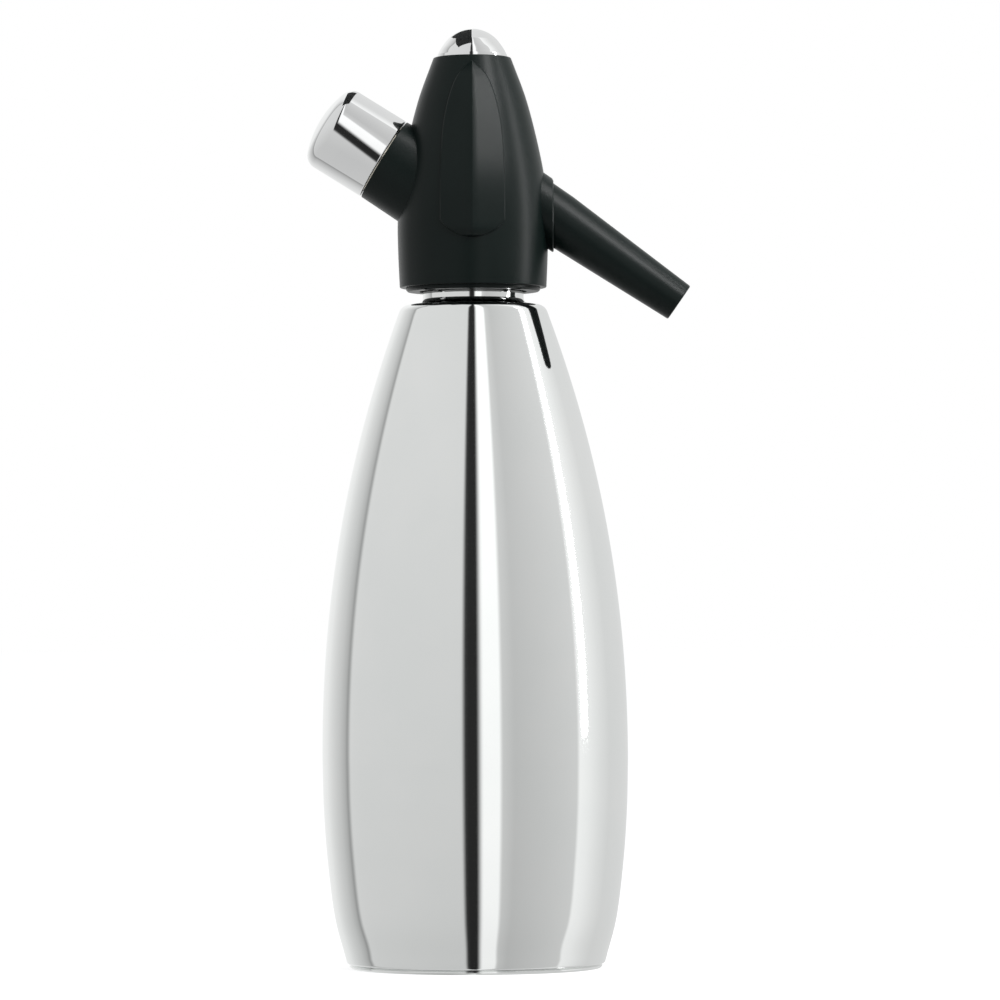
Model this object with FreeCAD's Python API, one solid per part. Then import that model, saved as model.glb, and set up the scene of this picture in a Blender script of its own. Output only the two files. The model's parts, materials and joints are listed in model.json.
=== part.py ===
import FreeCAD, Part
import math
import os

# Soda siphon: a polished steel bottle and a moulded head that screws on its neck.
# Lengths are in millimetres and angles in degrees. Z is the bottle's axis and points up, X points
# towards the spout, and the origin is on the axis in the plane that the bottle stands on.
# The head turns as one group. In it, distances along the charger's and the spout's inclined axes are
# counted outwards from the point where that axis crosses Z.

# Fits
slip_gap = 0.05
running_gap = 0.05
loose_gap = 0.3

# Bottle: a spun shell with a pressed base
foot_outline = [(42.9, 4.2), (45.9, 15.5), (48.4, 35.0)]
belly_radius = 50.0
belly_height = 68.0
shoulder_radius = 24.9
flank_height = 212.8
flank_power = 2.1
flank_stations = 3
bottle_wall = 1.0
shoulder_rise = 3.8
shoulder_rounding = 3.5
neck_radius = 16.5
neck_wall = 1.4
neck_foot_rise = 0.8
neck_length = 13.6
neck_flare = 2.0
hem_height = 1.5
hem_rounding = 1.2
rim_band_radius = 41.4
rim_band_width = 2.5
base_recess = 3.0
base_dome = 2.2
base_wall = 1.2
base_bevel = 0.6
base_skirt_gap = 1.5

# Head: seal, collar and screws
gasket_thickness = 2.0
collar_height = 11.8
collar_wall = 4.3
thread_depth = 1.1
collar_bevel = 0.5
screw_count = 4
screw_radius = 1.25
screw_hole_gap = 0.1
screw_head_radius = 1.9
screw_head_height = 1.5
screw_recess = 0.6
screw_grip = 6.5
screw_boss_radius = 3.0
screw_boss_height = 7.5

# Housing, heights counted from its lower edge
housing_outline = [(24.0, 0.0), (24.6, 21.5), (21.8, 45.0), (17.65, 61.5), (12.65, 75.2)]
housing_skirt = 10.5
housing_wall = 2.5
housing_rim_rounding = 0.5
housing_foot_rounding = 0.4
ledge_width = 1.9
ledge_height = 4.5
button_bore_length = 8.7

# Wings of the housing, half widths and heights counted from its lower edge
wing_outline = [(4.9, 68.0), (8.9, 55.5), (10.4, 39.0), (10.6, 20.8)]
wing_tip_height = 73.2
wing_foot_height = 15.0
wing_facet_angle = 24.0
wing_step = 0.8
wing_tip_step = 0.2

# Valve body, heights counted from its seat on the gasket
spigot_radius = 13.6
spigot_depth = 7.0
flange_height = 5.0
drum_waist_radius = 16.4
drum_radius = 19.0
drum_low = 13.8
drum_high = 31.0
body_height = 43.5
body_bevel = 0.6

# Riser for the soda water
tube_radius = 3.0
tube_bore = 2.2
tube_floor_gap = 3.0
tube_notch = 2.5
tube_engagement = 1.5
tube_seal_radius = 4.6
tube_seal_height = 2.0
tube_seal_recess = 0.3
riser_chamber_radius = 2.8
riser_chamber_height = 3.3
riser_height = 3.3
riser_offset = 13.2
gallery_radius = 1.5

# Level tube
level_tube_x = -9.5
level_tube_radius = 2.4
level_tube_bore = 1.6
level_tube_length = 46.0
level_tube_socket = 6.0

# Dispensing valve, heights counted from the valve body's seat
chamber_floor = 29.0
chamber_radius = 4.0
chamber_port = 32.0
seat_height = 35.0
seat_thickness = 2.0
seat_bore = 2.2
cartridge_radius = 4.6
plug_radius = 3.4
plug_thickness = 2.0
stem_radius = 1.5
stem_head_radius = 2.4
stem_head_height = 0.8
outlet_cavity_radius = 3.0
outlet_cavity_height = 4.0
outlet_port_height = 1.5
outlet_port_radius = 1.1
outlet_offset = 9.5
stem_seal_height = 1.1
guide_flange_radius = 9.0
guide_flange_height = 2.0
guide_radius = 3.6
button_travel = 3.0

# Push button, heights counted from its top
button_radius = 11.4
button_dome_height = 8.6
button_crown = 11.1
button_crown_radius = 8.2
button_stand = 9.5
button_wall = 1.2
button_skirt = 8.0
button_boss_radius = 3.2
cup_radius = 7.4
cup_height = 1.4
cup_depth = 13.2
stem_engagement = 7.9
spring_radius = 6.0
spring_wire = 0.9
spring_turns = 5

# Charger bay
charger_tilt = 32.0
charger_crossing = 13.5
charger_radius = 9.2
charger_length = 65.0
charger_tip = -9.6
charger_neck_radius = 4.4
charger_neck_length = 10.7
charger_shoulder_length = 9.0
charger_base_rounding = 4.0
charger_base_sphere = 24.0
charger_wall = 1.3
charger_gap = 0.4
charger_neck_gap = 0.5
pierced_hole = 1.1
charger_seal_thickness = 1.5
charger_seal_bore = 1.4
pin_base_thickness = 2.0
pin_radius = 0.8
pin_tip_radius = 0.45
pin_bore = 0.25
pin_reach = 2.0
pin_cavity_radius = 2.0
pin_cavity_depth = 1.5
sleeve_radius = 12.0
sleeve_start = 14.0
sleeve_end = 44.1
sleeve_bevel = 0.5

# Charger holder and the stub that it closes on
junction = 34.1
junction_gap = 0.4
holder_radius = 14.3
holder_length = 24.1
holder_sphere = 32.5
holder_rounding = 4.5
holder_rim_rounding = 0.4
pad_radius = 5.0
pad_thickness = 1.0
stub_start = 15.0
stub_flare_angle = 2.0
stub_blend = 1.2

# Spout
spout_drop = 34.8
spout_crossing = 31.2
spout_root_radius = 8.8
spout_tip_radius = 6.5
spout_tip = 82.1
spout_taper_start = 34.0
spout_shoulder = 22.0
spout_inlet = 11.8
spout_spigot_radius = 6.0
spout_bore = 3.2
spout_outlet_radius = 4.5
spout_outlet_depth = 12.0
spout_tip_rounding = 0.5
spout_plenum_radius = 4.0
spout_plenum_depth = 2.0
spout_seal_start = 14.0
spout_seal_width = 1.6
spout_seal_depth = 1.2
spout_boss_wall = 1.5
spout_boss_reach = 1.9
spout_boss_blend = 1.5

# Gas inlet valve, heights counted from the valve body's seat
inlet_x = 10.0
inlet_bore = 2.6
inlet_ceiling = 2.5
inlet_plug_radius = 2.2
inlet_plug_height = 1.8
inlet_cap_height = 2.7
inlet_cap_recess = 0.3
inlet_cap_hole = 0.9
inlet_port_x = 11.3
inlet_port_radius = 0.8
inlet_port_top = 5.0
inlet_spring_radius = 1.5
inlet_spring_wire = 0.5
inlet_spring_turns = 4

# Overpressure relief, heights counted from the valve body's seat
relief_y = -10.3
relief_radius = 2.2
relief_ledge = 1.0
relief_disc_thickness = 0.4
relief_vent_radius = 1.2
relief_vent_height = 2.5
relief_plug_height = 5.0
relief_plug_hole = 1.0

# Levels that follow from the stack
shoulder_height = flank_height + shoulder_rise
neck_foot_height = shoulder_height + neck_foot_rise
rim_height = neck_foot_height + neck_length
seat_z = rim_height + gasket_thickness
collar_bore = neck_radius + thread_depth
collar_radius = collar_bore + collar_wall
collar_z = seat_z - collar_height
housing_z = seat_z - housing_skirt
housing_top = housing_z + housing_outline[-1][1]
skirt_bore = collar_radius + 0.1
flange_radius = skirt_bore - 0.6
screw_circle = collar_bore + collar_wall / 2
body_top = seat_z + body_height
button_top = housing_top + button_stand
valve_seat_z = seat_z + seat_height
guide_base = valve_seat_z + seat_thickness
spigot_foot = seat_z - spigot_depth
tube_top = seat_z + tube_engagement
charger_base = charger_tip + charger_length
holder_end = junction + junction_gap + holder_length

# Directions of the inclined axes
UP = FreeCAD.Vector(0, 0, 1)
charger_out = FreeCAD.Vector(-math.cos(math.radians(charger_tilt)), 0, math.sin(math.radians(charger_tilt)))
charger_origin = FreeCAD.Vector(0, 0, seat_z + charger_crossing)
spout_out = FreeCAD.Vector(math.cos(math.radians(spout_drop)), 0, -math.sin(math.radians(spout_drop)))
spout_origin = FreeCAD.Vector(0, 0, seat_z + spout_crossing)


def point(radius, height):
    return FreeCAD.Vector(radius, 0, height)


def line(start, end):
    return Part.LineSegment(start, end).toShape()


def arcs_through(start, heading, stops):
    """Arcs that run on smoothly from a start and its heading through each stop, and the heading at each."""
    edges = []
    headings = [heading]
    for stop in stops:
        chord = stop - start
        along_chord = FreeCAD.Vector(chord).normalize()
        side = chord - heading * chord.dot(heading)
        if side.Length < 1e-9:
            edges.append(line(start, stop))
            headings.append(heading)
            start = stop
            continue
        side.normalize()
        radius = chord.Length ** 2 / (2 * chord.dot(side))
        centre = start + side * radius
        outwards = (start + chord / 2 - centre).normalize()
        edges.append(Part.Arc(start, centre + outwards * radius, stop).toShape())
        heading = along_chord * (2 * heading.dot(along_chord)) - heading
        headings.append(heading)
        start = stop
    return edges, headings


def inset_places(places, headings, inset):
    """Moves places on a rising outline square to their headings, towards the axis."""
    return [
        place + FreeCAD.Vector(-heading.z, 0, heading.x) * inset
        for place, heading in zip(places, headings)
    ]


def chain(corners, closed=True):
    """Edges through corners (radius, height) in the XZ plane.

    A third number rounds the corner, and the word bevel after it makes that a bevel.
    """
    count = len(corners)
    passes = []
    for number, corner in enumerate(corners):
        here = point(corner[0], corner[1])
        if len(corner) == 2:
            passes.append((here, None, here))
            continue
        before = corners[number - 1]
        after = corners[(number + 1) % count]
        arriving = (here - point(before[0], before[1])).normalize()
        leaving = (point(after[0], after[1]) - here).normalize()
        half_turn = arriving.getAngle(leaving) / 2
        if corner[-1] == "bevel":
            passes.append((here - arriving * corner[2], None, here + leaving * corner[2]))
            continue
        reach = corner[2] * math.tan(half_turn)
        inwards = (leaving - arriving).normalize()
        middle = here + inwards * (corner[2] / math.cos(half_turn) - corner[2])
        passes.append((here - arriving * reach, middle, here + leaving * reach))
    edges = []
    for number, (start, middle, end) in enumerate(passes):
        if middle is not None:
            edges.append(Part.Arc(start, middle, end).toShape())
        elif start.distanceToPoint(end) > 1e-6:
            edges.append(line(start, end))
        if number + 1 < count or closed:
            next_start = passes[(number + 1) % count][0]
            if end.distanceToPoint(next_start) > 1e-6:
                edges.append(line(end, next_start))
    return edges


def turned(edges):
    """Solid of revolution about Z from the edges of a closed outline in the XZ plane."""
    outline = Part.Wire(Part.__sortEdges__(edges))
    return Part.Face(outline).revolve(FreeCAD.Vector(0, 0, 0), UP, 360)


def ring(inner, outer, low, high):
    """Flat ring with a rectangular section, or a disc where inner is 0."""
    return turned(chain([(inner, low), (outer, low), (outer, high), (inner, high)]))


def drilling(radius, start, end):
    return Part.makeCylinder(radius, start.distanceToPoint(end), start, end - start)


def upright(radius, x, y, low, high):
    return drilling(radius, FreeCAD.Vector(x, y, low), FreeCAD.Vector(x, y, high))


def along(shape, origin, direction):
    """Puts a shape made along Z on an inclined axis, with Z = 0 at the axis's origin."""
    shape.Placement = FreeCAD.Placement(origin, FreeCAD.Rotation(UP, direction))
    return shape


def in_charger_bay(shape):
    return along(shape, charger_origin, charger_out)


def in_spout_axis(shape):
    return along(shape, spout_origin, spout_out)


def coil(radius, wire, turns, low, high):
    """Compression spring of square wire with its ends ground inside low and high."""
    pitch = (high - low - wire) / turns
    path = Part.makeHelix(pitch, high - low - wire, radius)
    half = wire / 2
    section = Part.makePolygon(
        [point(radius + dx, dz) for dx, dz in
         [(-half, -half), (half, -half), (half, half), (-half, half), (-half, -half)]]
    )
    spring = Part.Wire(path).makePipeShell([section], True, True)
    spring.translate(FreeCAD.Vector(0, 0, low + half))
    return spring


def radius_at(edges, height):
    """Radius of a rising outline at a height."""
    level = line(point(0, height), point(4 * belly_radius, height))
    reach = Part.Wire(edges).distToShape(level)
    return reach[1][0][0].x


def domed_end(radius, top, sphere, rounding, foot):
    """Edges from a cylindrical side at foot over a rounding and a spherical end to the axis at top."""
    centre = top - sphere
    reach = sphere - rounding
    across = radius - rounding
    rise = math.sqrt(reach ** 2 - across ** 2)
    side_end = point(radius, centre + rise)
    cap_start = point(across * sphere / reach, centre + rise * sphere / reach)
    diagonal = FreeCAD.Vector(reach + across, 0, rise).normalize() * rounding
    edges = [Part.Arc(side_end, point(across, centre + rise) + diagonal, cap_start).toShape()]
    edges.append(spherical_cap(top, sphere, cap_start.x))
    if abs(side_end.z - foot) > 1e-6:
        edges.append(line(point(radius, foot), side_end))
    return edges


def spherical_cap(top, sphere, radius):
    """Arc about a centre on the axis, from the axis at top out to a radius."""
    reach = math.asin(radius / sphere)
    places = [
        point(sphere * math.sin(angle), top - sphere + sphere * math.cos(angle))
        for angle in (0, reach / 2, reach)
    ]
    return Part.Arc(*places).toShape()


def shared_edges(shape, first, second):
    """Edges of a fused shape that lie on the skins of both shapes that it was made from."""
    found = []
    for edge in shape.Edges:
        samples = [Part.Vertex(place) for place in edge.discretize(5)]
        if all(place.distToShape(skin)[0] < 1e-3 for place in samples for skin in (first, second)):
            found.append(edge)
    return found


def rim_edges(shape, radius, height):
    """Circular edges of a turned shape at a radius and height."""
    return [
        edge for edge in shape.Edges
        if abs(edge.BoundBox.ZMin - height) < 1e-3 and abs(edge.BoundBox.ZMax - height) < 1e-3
        and abs(edge.BoundBox.XMax - radius) < 1e-3
    ]


# Bottle

def flank(inset):
    """Side of the bottle: edges, ends and the headings at both ends.

    The inside, moved inwards by inset, is straight between its stations.
    """
    belly = point(belly_radius, belly_height)
    below = [point(radius, height) for radius, height in reversed(foot_outline)]
    above = []
    for station in range(1, flank_stations + 1):
        share = station / flank_stations
        radius = belly_radius - (belly_radius - shoulder_radius) * share ** flank_power
        above.append(point(radius, belly_height + (flank_height - belly_height) * share))
    down = arcs_through(belly, -UP, below)[1]
    up = arcs_through(belly, UP, above)[1]
    below = inset_places([belly] + below, [-heading for heading in down], inset)
    above = inset_places([belly] + above, up, inset)
    if inset:
        places = below[::-1] + above[1:]
        edges = [line(start, end) for start, end in zip(places, places[1:])]
    else:
        edges = arcs_through(below[0], -UP, below[1:])[0] + arcs_through(above[0], UP, above[1:])[0]
    return edges, below[-1], above[-1], -down[-1], up[-1]


def shoulder_and_neck(top, rise, inset, neck, rounding, flare):
    """Edges from the top of a flank over the shoulder and up the neck."""
    corner = top + rise * ((shoulder_height - inset - top.z) / rise.z)
    return chain(
        [
            (top.x, top.z),
            (corner.x, corner.z, rounding),
            (neck, neck_foot_height - inset, flare),
            (neck, rim_height),
        ],
        closed=False,
    )


def make_bottle_body():
    outside, foot_out, top_out, slope, rise = flank(0)
    inside, foot_in, top_in, _, _ = flank(bottle_wall)
    hem = foot_out - slope * ((foot_out.z - hem_height) / slope.z)
    hem_inside = foot_in.x - (foot_out.x - hem.x) - slip_gap
    neck_bore = neck_radius - neck_wall
    edges = outside + inside
    edges += shoulder_and_neck(top_out, rise, 0, neck_radius, shoulder_rounding, neck_flare)
    edges += shoulder_and_neck(
        top_in, rise, bottle_wall, neck_bore, shoulder_rounding - bottle_wall, neck_flare + bottle_wall
    )
    edges.append(line(point(neck_radius, rim_height), point(neck_bore, rim_height)))
    edges += chain(
        [
            (foot_out.x, foot_out.z),
            (hem.x, hem_height, hem_rounding),
            (hem_inside, hem_height),
            (foot_in.x, foot_in.z),
        ],
        closed=False,
    )
    return turned(edges)


def make_bottle_base():
    skirt = foot_outline[0][0] - bottle_wall - base_skirt_gap
    band_inside = rim_band_radius - rim_band_width
    plate_top = base_recess + base_wall
    under_sphere = (band_inside ** 2 + base_dome ** 2) / (2 * base_dome)
    over_sphere = (skirt ** 2 + base_dome ** 2) / (2 * base_dome)
    edges = [
        spherical_cap(base_recess + base_dome, under_sphere, band_inside),
        spherical_cap(plate_top + base_dome, over_sphere, skirt),
        line(point(0, base_recess + base_dome), point(0, plate_top + base_dome)),
    ]
    edges += chain(
        [
            (band_inside, base_recess),
            (band_inside, 0),
            (rim_band_radius, 0, base_bevel, "bevel"),
            (rim_band_radius, hem_height, base_bevel, "bevel"),
            (skirt, hem_height),
            (skirt, plate_top),
        ],
        closed=False,
    )
    return turned(edges)


# Seal, collar and screws

def make_head_gasket():
    return ring(spigot_radius + loose_gap, neck_radius, rim_height, seat_z)


def screw_places():
    step = 360 / screw_count
    for number in range(screw_count):
        angle = math.radians(step * (number + 0.5))
        yield screw_circle * math.cos(angle), screw_circle * math.sin(angle)


def make_threaded_collar():
    collar = turned(chain([
        (collar_bore, collar_z),
        (collar_radius, collar_z, collar_bevel, "bevel"),
        (collar_radius, seat_z),
        (collar_bore, seat_z),
    ]))
    head_top = collar_z + screw_recess + screw_head_height
    holes = []
    for x, y in screw_places():
        holes.append(upright(screw_head_radius + slip_gap, x, y, collar_z - 1, head_top))
        holes.append(upright(screw_radius + screw_hole_gap, x, y, collar_z, seat_z + 1))
    return collar.cut(holes)


def make_housing_screws():
    head_low = collar_z + screw_recess
    head_top = head_low + screw_head_height
    screws = []
    for x, y in screw_places():
        screw = ring(0, screw_head_radius, head_low, head_top).fuse(
            ring(0, screw_radius, head_top, seat_z + flange_height + screw_grip)
        )
        screw = screw.removeSplitter()
        screw.translate(FreeCAD.Vector(x, y, 0))
        screws.append(screw)
    return Part.makeCompound(screws)


# Housing

def housing_side(inset=0):
    """Edges and ends of the housing's side, upright at its widest place and straight-sided inside."""
    places = [point(radius, housing_z + height) for radius, height in housing_outline]
    foot = places[0]
    widest = places[1]
    down = arcs_through(widest, -UP, [foot])[1]
    up = arcs_through(widest, UP, places[2:])[1]
    below = inset_places([widest, foot], [-heading for heading in down], inset)
    above = inset_places(places[1:], up, inset)
    if inset:
        places = below[::-1] + above[1:]
        edges = [line(start, end) for start, end in zip(places, places[1:])]
    else:
        edges = arcs_through(below[0], -UP, below[1:])[0] + arcs_through(above[0], UP, above[1:])[0]
    return edges, below[-1], above[-1]


def make_housing_skin(inset=0):
    side, foot, rim = housing_side(inset)
    return turned(side + chain([(foot.x, foot.z), (0, foot.z), (0, rim.z), (rim.x, rim.z)], closed=False))


def make_housing_hollow():
    """Inside of the housing: the collar's skirt, the hollow round the valve body, its ledge, the bore."""
    flange_top = seat_z + flange_height
    bore = button_radius + loose_gap
    ledge = drum_waist_radius - ledge_width
    slab = ring(0, belly_radius, flange_top, body_top)
    return [
        ring(0, skirt_bore, housing_z - 1, flange_top),
        make_housing_skin(housing_wall).common(slab),
        turned(chain([
            (0, body_top),
            (ledge, body_top),
            (ledge, body_top + ledge_height),
            (bore, housing_top - button_bore_length),
            (bore, housing_top + 1),
            (0, housing_top + 1),
        ])),
    ]


def make_wing():
    """Leaf-shaped finger grip with two flat facets that meet in a ridge, on the +Y side."""
    side = housing_side()[0]
    slope = math.radians(wing_facet_angle)

    def ridge_point(half_width, height, step):
        radius = radius_at(side, housing_z + height)
        reach = math.sqrt(radius ** 2 - half_width ** 2)
        return FreeCAD.Vector(0, reach + step + half_width * math.tan(slope), housing_z + height)

    ridge = [ridge_point(0, wing_tip_height, wing_tip_step)]
    ridge += [ridge_point(width, height, wing_step) for width, height in wing_outline]
    ridge.append(ridge_point(0, wing_foot_height, wing_tip_step))
    root = housing_outline[-1][0] / 2
    tip = FreeCAD.Vector(0, root, housing_z + wing_tip_height)
    foot = FreeCAD.Vector(0, root, housing_z + wing_foot_height)
    crest = ridge[-2:0:-1]
    ridge_edges = arcs_through(crest[0], UP, crest[1:])[0]
    ridge_edges += [line(ridge[0], crest[-1]), line(crest[0], ridge[-1])]
    ridge_edges += [line(ridge[-1], foot), line(foot, tip), line(tip, ridge[0])]
    section = Part.Face(Part.Wire(Part.__sortEdges__(ridge_edges)))
    run = 1.5 * wing_outline[-1][0]
    right = section.extrude(FreeCAD.Vector(run, -run * math.tan(slope), 0))
    left = section.extrude(FreeCAD.Vector(-run, -run * math.tan(slope), 0))
    roof = right.fuse(left)

    places = [point(0, housing_z + wing_tip_height)]
    places += [point(width, housing_z + height) for width, height in wing_outline]
    corner = places[-1]
    upward = places[::-1]
    right_side = arcs_through(corner, UP, upward[1:])[0]
    left_side = [edge.mirror(FreeCAD.Vector(0, 0, 0), FreeCAD.Vector(1, 0, 0)) for edge in right_side]
    keel = Part.Arc(corner, point(0, housing_z + wing_foot_height), point(-corner.x, corner.z)).toShape()
    leaf = Part.Face(Part.Wire(Part.__sortEdges__(right_side + left_side + [keel])))
    depth = 2 * housing_outline[1][0]
    return leaf.extrude(FreeCAD.Vector(0, depth, 0)).common(roof)


def make_stub():
    """Flared stub that the charger holder closes on."""
    length = junction - stub_start
    root = holder_radius + length * math.tan(math.radians(stub_flare_angle))
    return in_charger_bay(turned(chain([
        (0, stub_start), (root, stub_start), (holder_radius, junction), (0, junction)
    ])))


def make_spout_boss():
    radius = spout_root_radius + 2 * slip_gap + spout_boss_wall
    boss = in_spout_axis(ring(0, radius, spout_shoulder - 4, spout_taper_start + 10))
    wall_height = spout_origin.z + spout_taper_start * spout_out.z
    end = radius_at(housing_side()[0], wall_height) + spout_boss_reach
    room = Part.makeBox(end, 4 * radius, 8 * radius, FreeCAD.Vector(0, -2 * radius, spout_origin.z - 6 * radius))
    return boss.common(room)


def make_head_housing():
    skin = make_housing_skin()
    stub = make_stub()
    boss = make_spout_boss()
    shell = skin.fuse(boss)
    shell = shell.makeFillet(spout_boss_blend, shared_edges(shell, skin, boss))
    shell = shell.fuse(stub)
    shell = shell.makeFillet(stub_blend, shared_edges(shell, skin, stub))
    shell = shell.makeFillet(housing_rim_rounding, rim_edges(shell, housing_outline[-1][0], housing_top))
    shell = shell.makeFillet(housing_foot_rounding, rim_edges(shell, housing_outline[0][0], housing_z))
    wing = make_wing()
    shell = shell.fuse([wing, wing.mirror(FreeCAD.Vector(0, 0, 0), FreeCAD.Vector(0, 1, 0))])
    shell = shell.cut(make_housing_hollow())
    low = seat_z + flange_height
    bosses = [
        upright(screw_boss_radius, x, y, low, low + screw_boss_height) for x, y in screw_places()
    ]
    shell = shell.fuse(bosses)
    holes = [upright(screw_radius + slip_gap, x, y, low - 1, low + screw_grip + slip_gap)
             for x, y in screw_places()]
    holes.append(in_charger_bay(ring(0, sleeve_radius + loose_gap, stub_start - 10, junction + 5)))
    holes.append(in_spout_axis(
        ring(0, spout_root_radius + 2 * slip_gap, spout_shoulder - 3, spout_tip)
    ))
    return shell.cut(holes).removeSplitter()


# Valve body and what it carries

def make_valve_body():
    body = turned(chain([
        (0, spigot_foot),
        (spigot_radius, spigot_foot, body_bevel, "bevel"),
        (spigot_radius, seat_z),
        (flange_radius, seat_z),
        (flange_radius, seat_z + flange_height),
        (drum_waist_radius, seat_z + flange_height),
        (drum_waist_radius, seat_z + drum_low),
        (drum_radius, seat_z + drum_low, body_bevel, "bevel"),
        (drum_radius, seat_z + drum_high, body_bevel, "bevel"),
        (drum_waist_radius, seat_z + drum_high),
        (drum_waist_radius, body_top, body_bevel, "bevel"),
        (0, body_top),
    ]))
    return body.cut(
        screw_passages() + riser_passages() + charger_bay() + valve_passages() + outlet_passages()
        + inlet_passages() + relief_passages()
    )


def screw_passages():
    return [
        upright(screw_radius + screw_hole_gap, x, y, seat_z - 1, seat_z + flange_height + 1)
        for x, y in screw_places()
    ]


def riser_passages():
    """Sockets of the two tubes, and the way from the riser round the charger to the valve chamber."""
    level = seat_z + riser_height
    chamber = seat_z + chamber_port
    return [
        upright(tube_radius + slip_gap, 0, 0, spigot_foot - 1, tube_top),
        upright(tube_seal_radius + slip_gap, 0, 0, spigot_foot - 1, spigot_foot + tube_seal_height
                + tube_seal_recess),
        upright(riser_chamber_radius, 0, 0, tube_top, tube_top + riser_chamber_height),
        drilling(gallery_radius, FreeCAD.Vector(0, 0, level), FreeCAD.Vector(0, riser_offset, level)),
        upright(gallery_radius, 0, riser_offset, level, chamber),
        drilling(gallery_radius, FreeCAD.Vector(0, riser_offset, chamber), FreeCAD.Vector(0, 0, chamber)),
        upright(level_tube_radius + slip_gap, level_tube_x, 0, spigot_foot - 1,
                spigot_foot + level_tube_socket),
    ]


def charger_bay():
    """Stepped bore for the sleeve, the charger's shoulder and neck, its seal and the pin."""
    body_bore = charger_radius + charger_gap
    neck_bore = charger_neck_radius + charger_neck_gap
    shoulder_foot = charger_tip + charger_neck_length
    seal_low = charger_tip - charger_seal_thickness
    pin_low = seal_low - pin_base_thickness
    seal_bore = charger_neck_radius + charger_neck_gap / 2
    return [in_charger_bay(turned(chain([
        (0, pin_low - pin_cavity_depth),
        (pin_cavity_radius, pin_low - pin_cavity_depth),
        (pin_cavity_radius, pin_low),
        (seal_bore, pin_low),
        (seal_bore, charger_tip),
        (neck_bore, charger_tip),
        (neck_bore, shoulder_foot - charger_neck_gap),
        (body_bore, shoulder_foot + charger_shoulder_length / 2),
        (body_bore, sleeve_start),
        (sleeve_radius + slip_gap, sleeve_start),
        (sleeve_radius + slip_gap, sleeve_end),
        (0, sleeve_end),
    ])))]


def valve_passages():
    return [
        upright(chamber_radius, 0, 0, seat_z + chamber_floor, valve_seat_z),
        upright(cartridge_radius, 0, 0, valve_seat_z, body_top + 1),
    ]


def outlet_passages():
    """From above the valve seat across and down into the spout's socket."""
    level = guide_base + outlet_port_height
    start = spout_inlet - spout_plenum_depth
    plenum = spout_origin + spout_out * (spout_inlet - spout_plenum_depth / 2)
    return [
        drilling(gallery_radius, FreeCAD.Vector(0, 0, level), FreeCAD.Vector(outlet_offset, 0, level)),
        upright(gallery_radius, outlet_offset, 0, plenum.z, level),
        in_spout_axis(ring(0, spout_plenum_radius, start, spout_inlet)),
        in_spout_axis(ring(0, spout_spigot_radius + slip_gap, spout_inlet, spout_tip)),
        in_spout_axis(ring(0, spout_root_radius + slip_gap, spout_shoulder, spout_tip)),
    ]


def inlet_passages():
    ceiling = seat_z + inlet_ceiling
    return [
        upright(inlet_bore, inlet_x, 0, spigot_foot - 1, ceiling),
        upright(inlet_port_radius, inlet_port_x, 0, ceiling, seat_z + inlet_port_top),
    ]


def relief_passages():
    ledge = seat_z + relief_ledge
    vent = seat_z + relief_vent_height
    return [
        upright(relief_radius, 0, relief_y, spigot_foot - 1, ledge),
        upright(relief_vent_radius, 0, relief_y, ledge, vent + relief_vent_radius),
        drilling(relief_vent_radius, FreeCAD.Vector(0, relief_y, vent),
                 FreeCAD.Vector(0, -flange_radius - 1, vent)),
    ]


def make_pickup_tube():
    foot = base_recess + base_wall + base_dome + tube_floor_gap
    tube = ring(tube_bore, tube_radius, foot, tube_top)
    notch = Part.makeBox(4 * tube_radius, tube_bore, tube_notch,
                         FreeCAD.Vector(-2 * tube_radius, -tube_bore / 2, foot))
    return tube.cut(notch)


def make_pickup_tube_seal():
    low = spigot_foot + tube_seal_recess
    return ring(tube_radius + slip_gap, tube_seal_radius, low, low + tube_seal_height)


def make_level_tube():
    top = spigot_foot + level_tube_socket
    tube = ring(level_tube_bore, level_tube_radius, top - level_tube_length, top)
    tube.translate(FreeCAD.Vector(level_tube_x, 0, 0))
    return tube


# Dispensing valve and button

def make_valve_seat():
    return ring(seat_bore, cartridge_radius - slip_gap, valve_seat_z, guide_base)


def make_button_guide():
    """Cartridge that clamps the seat, carries the stem seal and guides the stem."""
    flange_top = body_top + guide_flange_height
    travel_stop = button_top - cup_depth - cup_height - button_travel - 0.1
    guide = turned(chain([
        (outlet_cavity_radius, guide_base),
        (cartridge_radius - slip_gap, guide_base),
        (cartridge_radius - slip_gap, body_top),
        (guide_flange_radius, body_top),
        (guide_flange_radius, flange_top),
        (guide_radius, flange_top),
        (guide_radius, travel_stop),
        (stem_radius + running_gap, travel_stop),
        (stem_radius + running_gap, guide_base + outlet_cavity_height),
        (outlet_cavity_radius, guide_base + outlet_cavity_height),
    ]))
    level = guide_base + outlet_port_height
    return guide.cut(drilling(
        outlet_port_radius,
        FreeCAD.Vector(-2 * cartridge_radius, 0, level), FreeCAD.Vector(2 * cartridge_radius, 0, level)
    ))


def make_stem_seal():
    top = guide_base + outlet_cavity_height
    return ring(stem_radius + running_gap, outlet_cavity_radius - slip_gap, top - stem_seal_height, top)


def make_valve_plug():
    return ring(stem_radius, plug_radius, valve_seat_z - plug_thickness, valve_seat_z)


def make_valve_stem():
    head_top = valve_seat_z - plug_thickness
    top = button_top - cup_depth + stem_engagement
    return turned(chain([
        (0, head_top - stem_head_height),
        (stem_head_radius, head_top - stem_head_height),
        (stem_head_radius, head_top),
        (stem_radius, head_top),
        (stem_radius, top),
        (0, top),
    ]))


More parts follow.
